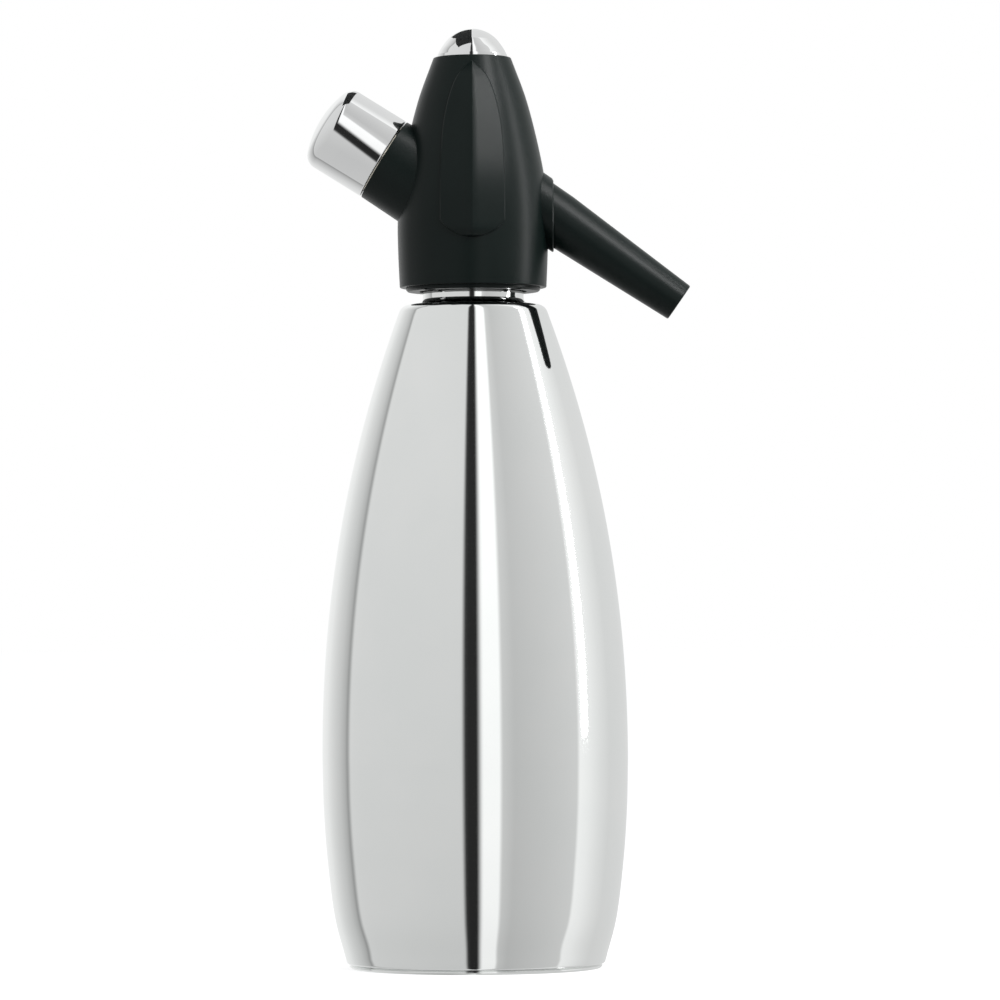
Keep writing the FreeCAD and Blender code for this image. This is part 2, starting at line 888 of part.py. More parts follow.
def make_push_button():
    """Domed button with a thin skirt and a boss for the stem."""
    shoulder = button_top - button_dome_height
    skirt_foot = shoulder - button_skirt
    crown_edge = button_top - button_crown + math.sqrt(button_crown ** 2 - button_crown_radius ** 2)
    crown_slope = math.asin(button_crown_radius / button_crown)
    heading = point(math.cos(crown_slope), -math.sin(crown_slope))
    edges = [spherical_cap(button_top, button_crown, button_crown_radius)]
    edges += arcs_through(point(button_crown_radius, crown_edge), heading, [point(button_radius, shoulder)])[0]
    skirt_inside = button_radius - button_wall
    boss_foot = button_top - cup_depth
    bore = stem_radius + slip_gap
    bore_top = boss_foot + stem_engagement + slip_gap
    edges += chain(
        [
            (button_radius, shoulder),
            (button_radius, skirt_foot),
            (skirt_inside, skirt_foot),
            (skirt_inside, shoulder),
            (button_boss_radius, crown_edge - button_wall / 2),
            (button_boss_radius, boss_foot),
            (bore, boss_foot),
            (bore, bore_top),
            (0, bore_top),
            (0, button_top),
        ],
        closed=False,
    )
    return turned(edges)


def make_spring_cup():
    top = button_top - cup_depth
    return ring(stem_radius + slip_gap, cup_radius, top - cup_height, top)


def make_return_spring():
    return coil(spring_radius, spring_wire, spring_turns,
                body_top + guide_flange_height, button_top - cup_depth - cup_height)


# Charger and its bay

def make_charger_sleeve():
    return in_charger_bay(turned(chain([
        (charger_radius + charger_gap, sleeve_start),
        (sleeve_radius, sleeve_start),
        (sleeve_radius, sleeve_end, sleeve_bevel, "bevel"),
        (charger_radius + charger_gap, sleeve_end, sleeve_bevel, "bevel"),
    ])))


def make_charger_seal():
    outer = charger_neck_radius + charger_neck_gap / 2 - slip_gap
    return in_charger_bay(ring(charger_seal_bore, outer, charger_tip - charger_seal_thickness, charger_tip))


def make_piercing_pin():
    outer = charger_neck_radius + charger_neck_gap / 2 - slip_gap
    base_top = charger_tip - charger_seal_thickness
    return in_charger_bay(turned(chain([
        (pin_bore, base_top - pin_base_thickness),
        (outer, base_top - pin_base_thickness),
        (outer, base_top),
        (pin_radius, base_top),
        (pin_radius, charger_tip + pin_reach / 2),
        (pin_tip_radius, charger_tip + pin_reach),
        (pin_bore, charger_tip + pin_reach),
    ])))


def make_co2_charger():
    """Steel gas cartridge, hollow, with its neck's seal pierced by the pin."""
    neck_top = charger_tip + charger_neck_length
    shoulder_top = neck_top + charger_shoulder_length
    wall = charger_wall
    edges = domed_end(charger_radius, charger_base, charger_base_sphere, charger_base_rounding, shoulder_top)
    middle = (charger_radius + charger_neck_radius) / 2
    half_way = (neck_top + shoulder_top) / 2
    cap_drop = charger_radius ** 2 / (2 * charger_base_sphere)
    edges += arcs_through(point(charger_neck_radius, neck_top), UP,
                          [point(middle, half_way), point(charger_radius, shoulder_top)])[0]
    edges += chain(
        [
            (charger_neck_radius, neck_top),
            (charger_neck_radius, charger_tip),
            (pierced_hole, charger_tip),
            (pierced_hole, charger_tip + wall),
            (charger_neck_radius - wall, charger_tip + wall),
            (charger_neck_radius - wall, neck_top + wall),
            (charger_radius - wall, shoulder_top + wall),
            (charger_radius - wall, charger_base - charger_base_rounding),
            (charger_radius - charger_base_rounding, charger_base - wall - cap_drop),
            (0, charger_base - wall - cap_drop),
            (0, charger_base),
        ],
        closed=False,
    )
    return in_charger_bay(turned(edges))


def make_charger_holder():
    """Cap with a domed end that screws on the sleeve and holds the charger against the pin."""
    rim = junction + junction_gap
    bore = charger_radius + charger_gap + slip_gap
    counterbore = sleeve_radius + loose_gap
    pocket_end = charger_base + pad_thickness
    edges = domed_end(holder_radius, holder_end, holder_sphere, holder_rounding, rim + holder_rim_rounding)
    edges += chain(
        [
            (holder_radius, rim + holder_rim_rounding),
            (holder_radius - holder_rim_rounding, rim),
            (counterbore, rim),
            (counterbore, sleeve_end + loose_gap),
            (bore, sleeve_end + loose_gap),
        ],
        closed=False,
    )
    edges += domed_end(bore, pocket_end, charger_base_sphere, charger_base_rounding, sleeve_end + loose_gap)
    edges.append(line(point(0, pocket_end), point(0, holder_end)))
    return in_charger_bay(turned(edges))


def make_holder_pad():
    """Thin rubber cushion between the charger's domed end and the bottom of the holder."""
    radius = pad_radius
    low = charger_base - charger_base_sphere + math.sqrt(charger_base_sphere ** 2 - radius ** 2)
    edges = [
        spherical_cap(charger_base, charger_base_sphere, radius),
        spherical_cap(charger_base + pad_thickness, charger_base_sphere, radius),
        line(point(0, charger_base), point(0, charger_base + pad_thickness)),
        line(point(radius, low), point(radius, low + pad_thickness)),
    ]
    return in_charger_bay(turned(edges))


# Spout

def make_spout():
    groove = spout_spigot_radius - spout_seal_depth
    return in_spout_axis(turned(chain([
        (spout_bore, spout_inlet),
        (spout_spigot_radius, spout_inlet),
        (spout_spigot_radius, spout_seal_start),
        (groove, spout_seal_start),
        (groove, spout_seal_start + spout_seal_width),
        (spout_spigot_radius, spout_seal_start + spout_seal_width),
        (spout_spigot_radius, spout_shoulder),
        (spout_root_radius, spout_shoulder),
        (spout_root_radius, spout_taper_start),
        (spout_tip_radius, spout_tip, spout_tip_rounding),
        (spout_outlet_radius, spout_tip),
        (spout_outlet_radius, spout_tip - spout_outlet_depth),
        (spout_bore, spout_tip - spout_outlet_depth),
    ])))


def make_spout_seal():
    return in_spout_axis(ring(
        spout_spigot_radius - spout_seal_depth + slip_gap, spout_spigot_radius,
        spout_seal_start, spout_seal_start + spout_seal_width
    ))


# Gas inlet valve

def make_inlet_valve_plug():
    top = seat_z + inlet_ceiling
    plug = ring(0, inlet_plug_radius, top - inlet_plug_height, top)
    plug.translate(FreeCAD.Vector(inlet_x, 0, 0))
    return plug


def inlet_cap_top():
    return spigot_foot + inlet_cap_recess + inlet_cap_height


def make_inlet_valve_cap():
    cap = ring(inlet_cap_hole, inlet_bore - slip_gap, spigot_foot + inlet_cap_recess, inlet_cap_top())
    cap.translate(FreeCAD.Vector(inlet_x, 0, 0))
    return cap


def make_inlet_valve_spring():
    spring = coil(inlet_spring_radius, inlet_spring_wire, inlet_spring_turns,
                  inlet_cap_top(), seat_z + inlet_ceiling - inlet_plug_height)
    spring.translate(FreeCAD.Vector(inlet_x, 0, 0))
    return spring


# Overpressure relief

def make_relief_disc():
    top = seat_z + relief_ledge
    disc = ring(0, relief_radius - slip_gap, top - relief_disc_thickness, top)
    disc.translate(FreeCAD.Vector(0, relief_y, 0))
    return disc


def make_relief_plug():
    top = seat_z + relief_ledge - relief_disc_thickness
    plug = ring(relief_plug_hole, relief_radius - slip_gap, top - relief_plug_height, top)
    plug.translate(FreeCAD.Vector(0, relief_y, 0))
    return plug


nodes = {
    "bottle_body": make_bottle_body,
    "bottle_base": make_bottle_base,
    "head_gasket": make_head_gasket,
    "threaded_collar": make_threaded_collar,
    "housing_screws": make_housing_screws,
    "head_housing": make_head_housing,
    "valve_body": make_valve_body,
    "pickup_tube": make_pickup_tube,
    "pickup_tube_seal": make_pickup_tube_seal,
    "level_tube": make_level_tube,
    "valve_seat": make_valve_seat,
    "valve_plug": make_valve_plug,
    "valve_stem": make_valve_stem,
    "stem_seal": make_stem_seal,
    "button_guide": make_button_guide,
    "return_spring": make_return_spring,
    "spring_cup": make_spring_cup,
    "push_button": make_push_button,
    "charger_sleeve": make_charger_sleeve,
    "charger_seal": make_charger_seal,
    "piercing_pin": make_piercing_pin,
    "co2_charger": make_co2_charger,
    "holder_pad": make_holder_pad,
    "charger_holder": make_charger_holder,
    "spout": make_spout,
    "spout_seal": make_spout_seal,
    "inlet_valve_plug": make_inlet_valve_plug,
    "inlet_valve_cap": make_inlet_valve_cap,
    "inlet_valve_spring": make_inlet_valve_spring,
    "relief_disc": make_relief_disc,
    "relief_plug": make_relief_plug,
}

os.makedirs("parts", exist_ok=True)
for name, make in nodes.items():
    make().exportStep("parts/" + name + ".step")
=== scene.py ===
import json
import math

import bmesh
import bpy
from mathutils import Matrix, Vector

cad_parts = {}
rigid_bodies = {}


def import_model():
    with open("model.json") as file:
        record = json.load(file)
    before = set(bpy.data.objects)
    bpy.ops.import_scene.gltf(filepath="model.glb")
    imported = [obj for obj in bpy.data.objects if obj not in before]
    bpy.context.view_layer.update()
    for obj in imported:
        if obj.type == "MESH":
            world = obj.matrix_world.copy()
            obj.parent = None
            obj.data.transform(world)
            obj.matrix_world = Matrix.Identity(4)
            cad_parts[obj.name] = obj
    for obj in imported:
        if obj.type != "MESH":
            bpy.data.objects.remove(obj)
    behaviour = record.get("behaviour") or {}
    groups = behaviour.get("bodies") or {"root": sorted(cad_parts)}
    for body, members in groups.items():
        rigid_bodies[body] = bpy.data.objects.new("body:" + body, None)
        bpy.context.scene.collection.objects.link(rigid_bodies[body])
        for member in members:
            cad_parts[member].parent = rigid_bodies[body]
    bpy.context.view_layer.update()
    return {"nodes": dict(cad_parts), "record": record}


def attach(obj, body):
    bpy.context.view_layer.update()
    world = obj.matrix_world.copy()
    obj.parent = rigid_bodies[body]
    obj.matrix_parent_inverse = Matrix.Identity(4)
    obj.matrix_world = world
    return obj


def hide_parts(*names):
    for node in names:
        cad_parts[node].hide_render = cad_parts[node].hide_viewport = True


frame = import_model()

MM = 0.001

# Levels of the solids in millimetres, and their inclined axes in degrees

RIM = 231.0
HOUSING_FOOT = 222.5
HOUSING_TOP = 297.7
BUTTON_TOP = 307.2
CHARGER_TILT = 32.0
SPOUT_DROP = 34.8
CHARGER_ORIGIN = (0, 0, 246.5)
SPOUT_ORIGIN = (0, 0, 264.2)


# Outlines: lists of (radius, height) in millimetres

def rounded(corners, steps=7):
    """Outline through corners, where a third number is the radius of that corner's rounding."""
    outline = []
    last = len(corners) - 1
    for index, corner in enumerate(corners):
        here = Vector(corner[:2])
        if len(corner) < 3 or index in (0, last):
            outline.append(here)
            continue
        before = (Vector(corners[index - 1][:2]) - here).normalized()
        after = (Vector(corners[index + 1][:2]) - here).normalized()
        half = before.angle(after) / 2
        bisector = (before + after).normalized()
        centre = here + bisector * (corner[2] / math.sin(half))
        start = here + before * (corner[2] / math.tan(half)) - centre
        end = here + after * (corner[2] / math.tan(half)) - centre
        turn = start.angle_signed(end)
        for step in range(steps + 1):
            outline.append(centre + Matrix.Rotation(-turn * step / steps, 2) @ start)
    return outline


def smooth_through(points, per_span=10):
    """Centripetal curve through points, sampled."""
    points = [Vector(p) for p in points]
    first = points[0] * 2 - points[1]
    last = points[-1] * 2 - points[-2]
    padded = [first] + points + [last]
    sampled = []
    for index in range(1, len(padded) - 2):
        spans = padded[index - 1:index + 3]
        knots = [0.0]
        for one, two in zip(spans, spans[1:]):
            knots.append(knots[-1] + max((two - one).length, 1e-6) ** 0.5)
        for step in range(per_span):
            t = knots[1] + (knots[2] - knots[1]) * step / per_span
            level = spans
            for reach in (1, 2, 1):
                following = []
                shift = 1 if len(level) == 2 else 0
                for place in range(len(level) - 1):
                    low, high = knots[place + shift], knots[place + shift + reach]
                    share = (t - low) / (high - low)
                    following.append(level[place] * (1 - share) + level[place + 1] * share)
                level = following
            sampled.append(level[0])
    sampled.append(points[-1])
    return sampled


def sphere_end(radius, top, sphere, rounding, steps=22):
    """Outline from the axis at top over a large sphere and a rounding to a cylindrical side."""
    centre = top - sphere
    across = radius - rounding
    rise = math.sqrt((sphere - rounding) ** 2 - across ** 2)
    lean = math.atan2(across, rise)
    outline = []
    for step in range(steps + 1):
        angle = lean * step / steps
        outline.append(Vector((sphere * math.sin(angle), centre + sphere * math.cos(angle))))
    for step in range(1, steps + 1):
        angle = lean + (math.pi / 2 - lean) * step / steps
        outline.append(Vector((
            across + rounding * math.sin(angle), centre + rise + rounding * math.cos(angle)
        )))
    return outline


def across_at(line, height):
    """Distance across of a sampled line at a height."""
    for one, two in zip(line, line[1:]):
        low, high = (one, two) if one.y <= two.y else (two, one)
        if low.y <= height <= high.y:
            return low.x + (high.x - low.x) * (height - low.y) / (high.y - low.y)
    return 0.0


# Meshes

def finish_mesh(name, bm, body, slot, replaced=(), sharp=32):
    """Object from a bmesh, smooth but for edges over the sharp angle, riding on its body."""
    bmesh.ops.recalc_face_normals(bm, faces=bm.faces)
    mesh = bpy.data.meshes.new(name)
    bm.to_mesh(mesh)
    bm.free()
    obj = bpy.data.objects.new(name, mesh)
    bpy.context.scene.collection.objects.link(obj)
    for face in mesh.polygons:
        face.use_smooth = True
    mesh.set_sharp_from_angle(angle=math.radians(sharp))
    mesh.materials.append(SLOTS[slot])
    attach(obj, body)
    if replaced:
        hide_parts(*replaced)
    return obj


def inclined(across, up, origin):
    """Matrix that takes the Z axis to a direction in the XZ plane, from an origin in millimetres."""
    turn = Matrix.Rotation(math.atan2(across, up), 3, "Y")
    return Matrix.Translation(Vector(origin) * MM) @ turn.to_4x4()


UPRIGHT = Matrix.Identity(4)
CHARGER_AXIS = inclined(
    -math.cos(math.radians(CHARGER_TILT)), math.sin(math.radians(CHARGER_TILT)), CHARGER_ORIGIN
)
SPOUT_AXIS = inclined(
    math.cos(math.radians(SPOUT_DROP)), -math.sin(math.radians(SPOUT_DROP)), SPOUT_ORIGIN
)


def join_rings(bm, pairs):
    """Faces between pairs of rings. A ring of one vertex closes to a point."""
    for one, two in pairs:
        around = max(len(one), len(two))
        for k in range(around):
            n = (k + 1) % around
            corners = [one[k % len(one)], one[n % len(one)], two[n % len(two)], two[k % len(two)]]
            unique = list(dict.fromkeys(corners))
            if len(unique) > 2:
                bm.faces.new(unique)


def close_ends(bm, rings):
    bm.faces.new(rings[0])
    bm.faces.new(list(reversed(rings[-1])))


def lathe(name, outline, body, slot, replaced=(), where=UPRIGHT, around=256):
    """Mesh of revolution about Z. An outline that doesn't end on the axis is closed."""
    on_axis = 1e-4
    bm = bmesh.new()
    rings = []
    for radius, height in outline:
        if radius < on_axis:
            rings.append([bm.verts.new(where @ Vector((0, 0, height * MM)))])
            continue
        rings.append([
            bm.verts.new(where @ Vector((
                radius * MM * math.cos(2 * math.pi * k / around),
                radius * MM * math.sin(2 * math.pi * k / around),
                height * MM,
            )))
            for k in range(around)
        ])
    pairs = list(zip(rings, rings[1:]))
    if len(rings[0]) > 1 and len(rings[-1]) > 1:
        pairs.append((rings[-1], rings[0]))
    join_rings(bm, pairs)
    bmesh.ops.remove_doubles(bm, verts=bm.verts, dist=1e-8)
    return finish_mesh(name, bm, body, slot, replaced)


THREAD_STEPS = 72
THREAD_RUNOUT = 18
THREAD_ROOT = 0.15
THREAD_BASE = 0.21
THREAD_CREST = 0.084


def thread(name, radius, depth, pitch, low, high, body, slot, where=UPRIGHT):
    """Helical ridge of a right-handed thread; a negative depth stands inwards from the radius."""
    bm = bmesh.new()
    count = int((high - low) / pitch * THREAD_STEPS)
    root = math.copysign(THREAD_ROOT, -depth)
    base = pitch * THREAD_BASE
    crest = pitch * THREAD_CREST
    rings = []
    for k in range(count + 1):
        angle = 2 * math.pi * k / THREAD_STEPS
        height = low + pitch * k / THREAD_STEPS
        tall = depth * max(min(1.0, k / THREAD_RUNOUT, (count - k) / THREAD_RUNOUT), 0.02)
        rings.append([
            bm.verts.new(where @ Vector((
                (radius + out) * MM * math.cos(angle),
                (radius + out) * MM * math.sin(angle),
                (height + up) * MM,
            )))
            for out, up in ((root, -base), (tall, -crest), (tall, crest), (root, base))
        ])
    join_rings(bm, zip(rings, rings[1:]))
    close_ends(bm, rings)
    return finish_mesh(name, bm, body, slot, sharp=40)


def open_around(obj, axis, radius, start):
    """Takes out the faces near an inclined axis, where another piece passes through the wall."""
    inverse = axis.inverted()
    bm = bmesh.new()
    bm.from_mesh(obj.data)
    gone = []
    for face in bm.faces:
        place = inverse @ face.calc_center_median()
        if place.z > start * MM and math.hypot(place.x, place.y) < radius * MM:
            gone.append(face)
    bmesh.ops.delete(bm, geom=gone, context="FACES")
    bm.to_mesh(obj.data)
    bm.free()


# Materials

def noise(nodes, links, scale, stretch, detail):
    where = nodes.new("ShaderNodeTexCoord")
    mapping = nodes.new("ShaderNodeMapping")
    mapping.inputs["Scale"].default_value = stretch
    texture = nodes.new("ShaderNodeTexNoise")
    texture.inputs["Scale"].default_value = scale
    texture.inputs["Detail"].default_value = detail
    links.new(where.outputs["Object"], mapping.inputs["Vector"])
    links.new(mapping.outputs["Vector"], texture.inputs["Vector"])
    return texture.outputs["Fac"]


def set_inputs(node, **values):
    """Sets sockets by name, with underscores for the spaces in a name."""
    for name, value in values.items():
        node.inputs[name.replace("_", " ")].default_value = value


def spread(nodes, links, value, low, high):
    """Noise value mapped to a range of numbers."""
    remap = nodes.new("ShaderNodeMapRange")
    set_inputs(remap, From_Min=0.3, From_Max=0.7, To_Min=low, To_Max=high)
    links.new(value, remap.inputs["Value"])
    return remap.outputs["Result"]


def tinted(nodes, links, value, one, two):
    """Noise value mapped between two colours."""
    ramp = nodes.new("ShaderNodeValToRGB")
    for stop, position, colour in zip(ramp.color_ramp.elements, (0.35, 0.65), (one, two)):
        stop.position = position
        stop.color = (*colour, 1)
    links.new(value, ramp.inputs["Fac"])
    return ramp.outputs["Color"]


EVEN = (1, 1, 1)


def finish(name, colours, roughness, metallic=0.0, grain=900.0, bump=0.04, depth=0.00005, specular=0.5,
           stretch=EVEN, mottle=60.0):
    """Surface with mottled colour, uneven roughness and a fine grain."""
    material = bpy.data.materials.new(name)
    material.use_nodes = True
    nodes = material.node_tree.nodes
    links = material.node_tree.links
    shader = nodes["Principled BSDF"]
    broad = noise(nodes, links, mottle, EVEN, 3.0)
    fine = noise(nodes, links, grain, stretch, 4.0)
    links.new(tinted(nodes, links, broad, *colours), shader.inputs["Base Color"])
    links.new(spread(nodes, links, fine, *roughness), shader.inputs["Roughness"])
    set_inputs(shader, Metallic=metallic, Specular_IOR_Level=specular)
    relief = nodes.new("ShaderNodeBump")
    set_inputs(relief, Strength=bump, Distance=depth)
    links.new(fine, relief.inputs["Height"])
    links.new(relief.outputs["Normal"], shader.inputs["Normal"])
    return material


FINISHES = {
    "polished_steel": dict(
        colours=((0.86, 0.87, 0.865), (0.88, 0.885, 0.88)), roughness=(0.035, 0.06), metallic=1.0,
        grain=220.0, stretch=(1, 1, 9), bump=0.015, depth=0.00002, mottle=35.0),
    "chrome_plate": dict(
        colours=((0.84, 0.84, 0.845), (0.87, 0.87, 0.87)), roughness=(0.03, 0.05), metallic=1.0,
        grain=300.0, bump=0.01, depth=0.00002),
    "black_plastic": dict(
        colours=((0.0022, 0.0052, 0.0046), (0.0028, 0.006, 0.0054)), roughness=(0.3, 0.38),
        grain=2600.0, bump=0.16, depth=0.00004, specular=0.16),
    "black_rubber": dict(
        colours=((0.012, 0.012, 0.012), (0.02, 0.02, 0.02)), roughness=(0.55, 0.75),
        grain=1800.0, bump=0.2, specular=0.35),
    "nickel_brass": dict(
        colours=((0.70, 0.66, 0.57), (0.76, 0.72, 0.63)), roughness=(0.16, 0.3), metallic=1.0,
        grain=700.0, stretch=(1, 1, 6), bump=0.06, depth=0.00003),
    "steel": dict(
        colours=((0.52, 0.52, 0.53), (0.6, 0.6, 0.61)), roughness=(0.2, 0.34), metallic=1.0,
        bump=0.06, depth=0.00003),
    "charger_steel": dict(
        colours=((0.42, 0.43, 0.45), (0.5, 0.51, 0.52)), roughness=(0.24, 0.38), metallic=1.0,
        grain=500.0, stretch=(1, 1, 4), bump=0.08, depth=0.00004),
    "white_plastic": dict(
        colours=((0.74, 0.74, 0.72), (0.79, 0.79, 0.77)), roughness=(0.35, 0.5),
        grain=1200.0, bump=0.08, depth=0.00004),
    "copper_disc": dict(
        colours=((0.72, 0.36, 0.22), (0.8, 0.43, 0.28)), roughness=(0.2, 0.34), metallic=1.0,
        grain=1200.0, bump=0.08, depth=0.00003),
}
SLOTS = {name: finish(name, **settings) for name, settings in FINISHES.items()}

for part in frame["record"]["subparts"]:
    data = frame["nodes"][part["node"]].data
    data.materials.clear()
    data.materials.append(SLOTS[part["material_slot"]])


# Bottle

BELLY_RADIUS = 50.0
BELLY_HEIGHT = 68.0
FLANK_TOP = 212.8
FLANK_DRAW = 25.1
FLANK_POWER = 2.1
FLANK_STEPS = 40
SHOULDER_HEIGHT = 216.6
NECK_FOOT = 217.4
NECK_RADIUS = 16.5
NECK_BORE = 15.1
NECK_BORE_FOOT = 216.2
HEM_HEIGHT = 1.5
WALL = 1.0

foot = smooth_through([
    (42.9, 4.2), (45.9, 15.5), (48.4, 35.0), (49.6, 52.0), (BELLY_RADIUS, BELLY_HEIGHT)
], 12)
flank = []
for step in range(1, FLANK_STEPS + 1):
    share = step / FLANK_STEPS
    flank.append(Vector((
        BELLY_RADIUS - FLANK_DRAW * share ** FLANK_POWER, BELLY_HEIGHT + (FLANK_TOP - BELLY_HEIGHT) * share
    )))
rise = (flank[-1] - flank[-2]).normalized()
shoulder = flank[-1] + rise * ((SHOULDER_HEIGHT - flank[-1].y) / rise.y)
bottle_outline = [Vector((40.9, HEM_HEIGHT))]
bottle_outline += rounded([(41.2, HEM_HEIGHT), (42.18, HEM_HEIGHT, 0.9), tuple(foot[0])])[1:-1]
bottle_outline += foot + flank
bottle_outline += rounded([
    tuple(flank[-1]), (shoulder.x, shoulder.y, 3.5), (NECK_RADIUS, NECK_FOOT, 2.0), (NECK_RADIUS, RIM, 0.5),
    (NECK_BORE, RIM, 0.5), (NECK_BORE, NECK_BORE_FOOT)
])[1:]
bottle_outline += [Vector((22.9, 215.4))]
bottle_outline += [Vector((point.x - WALL, point.y - 0.4)) for point in reversed(flank[1::3])]
bottle_outline += [Vector((point.x - WALL, point.y)) for point in reversed(foot[6::6])]
bottle_outline += [Vector((41.9, 4.5))]
lathe("bottle_shell", bottle_outline, "bottle", "polished_steel", ("bottle_body",), around=320)

thread("neck_thread", NECK_RADIUS, 0.75, 3.0, 221.6, 229.8, "bottle", "polished_steel")
thread("collar_thread", 17.6, -0.75, 3.0, 223.1, 230.6, "head", "black_plastic")

# Head

RIM_RADIUS = 12.65
SKIRT_BORE = 22.0
SKIRT_TOP = 238.0
HOUSING_WALL = 2.5
WALL_LEVELS = (239, 275)

housing_side = smooth_through([
    (24.0, HOUSING_FOOT), (24.45, HOUSING_FOOT + 10.5), (24.6, HOUSING_FOOT + 21.5),
    (23.75, HOUSING_FOOT + 34.0), (21.8, HOUSING_FOOT + 45.0), (17.65, HOUSING_FOOT + 61.5),
    (RIM_RADIUS, HOUSING_TOP)
], 14)
shell_outline = rounded([
    (SKIRT_BORE, HOUSING_FOOT), (24.0, HOUSING_FOOT, 0.4), tuple(housing_side[6])
])[:-1]
shell_outline += housing_side[6:-4]
shell_outline += rounded([
    tuple(housing_side[-4]), (RIM_RADIUS, HOUSING_TOP, 0.5), (11.7, HOUSING_TOP, 0.25), (11.7, 289.0),
    (14.5, 281.0), (14.5, 276.5)
])[1:]
shell_outline += [
    Vector((point.x - HOUSING_WALL, point.y)) for point in reversed(housing_side[::7])
    if WALL_LEVELS[0] < point.y < WALL_LEVELS[1]
]
shell_outline += [Vector((SKIRT_BORE, SKIRT_TOP))]
shell = lathe("housing_shell", shell_outline, "head", "black_plastic", ("head_housing",), around=288)
open_around(shell, CHARGER_AXIS, 13.1, 10.0)
open_around(shell, SPOUT_AXIS, 9.3, 10.0)

# Stub for the charger, in the charger's axis

STUB_BORE = 12.3
STUB_START = 17.0
STUB_END = 34.1

lathe("charger_stub", rounded([
    (STUB_BORE, STUB_START), (14.9, STUB_START), (14.3, STUB_END, 0.25), (STUB_BORE, STUB_END, 0.2),
    (STUB_BORE, STUB_START)
]), "head", "black_plastic", (), CHARGER_AXIS, around=192)

# Boss round the spout's root: starts square to the spout's axis and ends in an upright face

BOSS_BORE = 8.85
BOSS_RADIUS = 9.9
BOSS_START = 20.0
BOSS_FACE = 26.4
BOSS_BEVEL = 0.4
BOSS_AROUND = 144
BOSS_SECTION = [
    (BOSS_BORE, BOSS_START, False), (BOSS_RADIUS, BOSS_START, False),
    (BOSS_RADIUS, BOSS_FACE - BOSS_BEVEL, True), (BOSS_RADIUS - BOSS_BEVEL, BOSS_FACE, True),
    (BOSS_BORE, BOSS_FACE, True)
]

drop = math.radians(SPOUT_DROP)
bm = bmesh.new()
rings = []
for radius, place, upright in BOSS_SECTION:
    ring = []
    for k in range(BOSS_AROUND):
        angle = 2 * math.pi * k / BOSS_AROUND
        across = radius * math.cos(angle)
        reach = (place - across * math.sin(drop)) / math.cos(drop) if upright else place
        ring.append(bm.verts.new((Vector(SPOUT_ORIGIN) + Vector((
            reach * math.cos(drop) + across * math.sin(drop),
            radius * math.sin(angle),
            -reach * math.sin(drop) + across * math.cos(drop),
        ))) * MM))
    rings.append(ring)
join_rings(bm, zip(rings, rings[1:] + rings[:1]))
finish_mesh("spout_boss", bm, "head", "black_plastic")

# Wings: leaves with two flat facets that meet in a ridge. Heights are above the housing's foot

LEAF = [(0.0, 73.2), (4.9, 68.0), (8.9, 55.5), (10.4, 39.0), (10.6, 20.8)]
LEAF_TOP = LEAF[0][1]
LEAF_WIDTH, LEAF_TURN = LEAF[-1]
LEAF_FOOT = 15.0
LEAF_EDGE = 0.3
LEAF_WALL = 5.0
LEAF_STEP = 0.8
END_STEP = 0.35
FACET = math.tan(math.radians(24.0))
KEEL_ROWS = 16
BLADE_ROWS = 90
leaf_side = smooth_through(LEAF, 12)


def leaf_width(height):
    """Half width of the leaf: its side above, and the arc of its keel below."""
    if height >= LEAF_TURN:
        return across_at(leaf_side, height)
    rise = LEAF_TURN - LEAF_FOOT
    radius = (LEAF_WIDTH ** 2 + rise ** 2) / (2 * rise)
    return math.sqrt(max(0.0, radius ** 2 - (LEAF_FOOT + radius - height) ** 2))


def ridge_reach(height):
    """Distance of the ridge from the axis. The step at the leaf's edge is lower at both ends."""
    step = LEAF_STEP * min(
        1.0, END_STEP + (height - LEAF_FOOT) / 4, END_STEP + (LEAF_TOP - height) / 8
    )
    width = leaf_width(height)
    radius = across_at(housing_side, HOUSING_FOOT + height)
    return math.sqrt(radius ** 2 - width ** 2) + step + width * FACET


def wing(name, side):
    """Wing at the front for side 1 and at the back for side -1."""
    bm = bmesh.new()
    keel = LEAF_TURN - LEAF_FOOT - 0.02
    heights = [
        LEAF_TURN - keel * math.cos(math.pi / 2 * k / KEEL_ROWS) for k in range(KEEL_ROWS)
    ]
    heights += [
        LEAF_TURN + (LEAF_TOP - 0.05 - LEAF_TURN) * k / BLADE_ROWS for k in range(BLADE_ROWS + 1)
    ]
    rows = []
    for height in heights:
        width = max(leaf_width(height), 0.03)
        bevel = min(LEAF_EDGE, width * 0.4)
        facet_width = width - bevel
        top = ridge_reach(height)
        places = [(-width, top - width * FACET - LEAF_WALL), (-width, top - width * FACET - bevel)]
        for share in (1, 0.75, 0.5, 0.25, 0.02):
            places.append((-facet_width * share, top - facet_width * share * FACET))
        places += [(-x, y) for x, y in reversed(places)]
        rows.append([
            bm.verts.new(Vector((x, -side * y, HOUSING_FOOT + height)) * MM) for x, y in places
        ])
    join_rings(bm, zip(rows, rows[1:]))
    close_ends(bm, rows)
    return finish_mesh(name, bm, "head", "black_plastic", sharp=26)


wing("wing_front", 1)
wing("wing_back", -1)

# Button

CROWN = 11.1
CROWN_EDGE = 8.2
CROWN_STEPS = 30
DOME_FOOT = BUTTON_TOP - 8.6
DOME_RADIUS = 11.4

